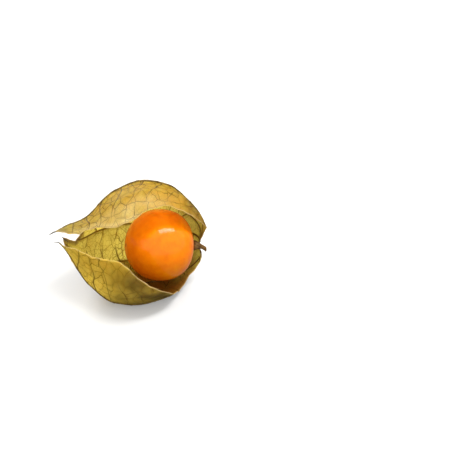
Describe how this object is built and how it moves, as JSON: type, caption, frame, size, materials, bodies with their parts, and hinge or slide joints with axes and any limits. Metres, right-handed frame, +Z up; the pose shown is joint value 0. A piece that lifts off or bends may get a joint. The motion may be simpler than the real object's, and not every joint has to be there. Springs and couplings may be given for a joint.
{
  "type": "physalis berry in its opened husk",
  "caption": "Ripe physalis berry lying on its side in a ribbed papery husk that is torn open along the front, with a cut stub of stem.",
  "frame": {"origin": "on the surface it lies on, under the middle of the object's box", "axes": "+X runs along the husk towards the stem, -Y is the side that the torn opening faces, +Z is up"},
  "size_m": [0.0424, 0.033, 0.0307],
  "materials": {
    "berry_skin": "satin",
    "husk_paper": "matte",
    "stem_bark": "matte"
  },
  "bodies": {
    "root": {"berry": "berry_skin", "husk": "husk_paper", "stem": "stem_bark"}
  },
  "joints": []
}
